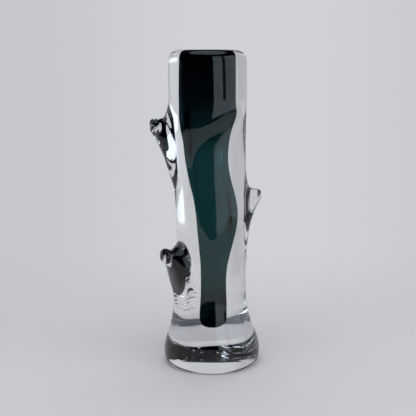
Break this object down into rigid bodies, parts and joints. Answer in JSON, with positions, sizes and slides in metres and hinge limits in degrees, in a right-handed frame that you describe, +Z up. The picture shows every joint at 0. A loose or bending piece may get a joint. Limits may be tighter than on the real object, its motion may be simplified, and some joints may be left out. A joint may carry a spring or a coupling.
{
  "type": "stem vase",
  "caption": "Tall hand-blown cased glass vase: a narrow dark petrol bubble inside a very thick clear wall, with branch-like knots drawn out of it and a heavy flared foot.",
  "frame": {"origin": "middle of the ground face under the foot, on the surface that the vase stands on", "axes": "+Z up towards the mouth; -Y is the front; +X is to the right seen from the front, the side with the single thorn"},
  "size_m": [0.1058, 0.0938, 0.3],
  "materials": {
    "clear_glass": "fire-polished, colourless with a faint cool tint",
    "petrol_glass": "glossy, dark petrol green, barely see-through"
  },
  "bodies": {
    "root": {"colour_lining": "petrol_glass", "clear_casing": "clear_glass", "foot": "clear_glass", "upper_left_knot": "clear_glass", "right_knot": "clear_glass", "lower_left_knot": "clear_glass"}
  },
  "joints": []
}
